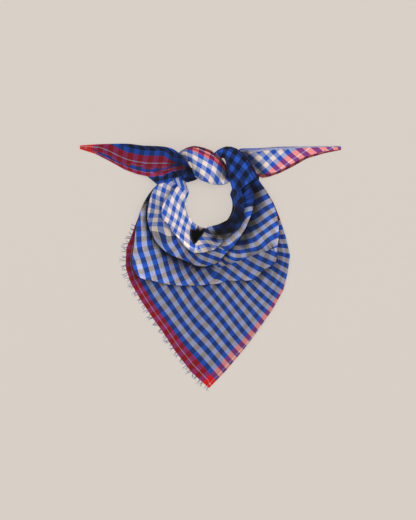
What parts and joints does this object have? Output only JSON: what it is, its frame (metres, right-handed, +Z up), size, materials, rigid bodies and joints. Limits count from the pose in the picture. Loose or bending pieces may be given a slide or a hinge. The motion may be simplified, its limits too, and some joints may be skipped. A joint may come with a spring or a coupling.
{
  "type": "folded gingham scarf",
  "caption": "Square gingham cotton scarf folded corner to corner, pleated round a neck opening and tied in a half knot, with red borders and a frayed edge.",
  "frame": {"origin": "centre of the bounding box in plan, on the surface that the scarf lies on", "axes": "+X from the left tail to the right tail, +Y from the front corner to the knot, +Z up out of the surface"},
  "size_m": [0.4964, 0.4692, 0.032],
  "materials": {
    "woven_cotton": "plain-woven cotton, matt",
    "loose_threads": "frayed cotton thread, matt"
  },
  "bodies": {
    "root": {"scarf_cloth": "woven_cotton", "hem_fringe": "loose_threads"}
  },
  "joints": []
}
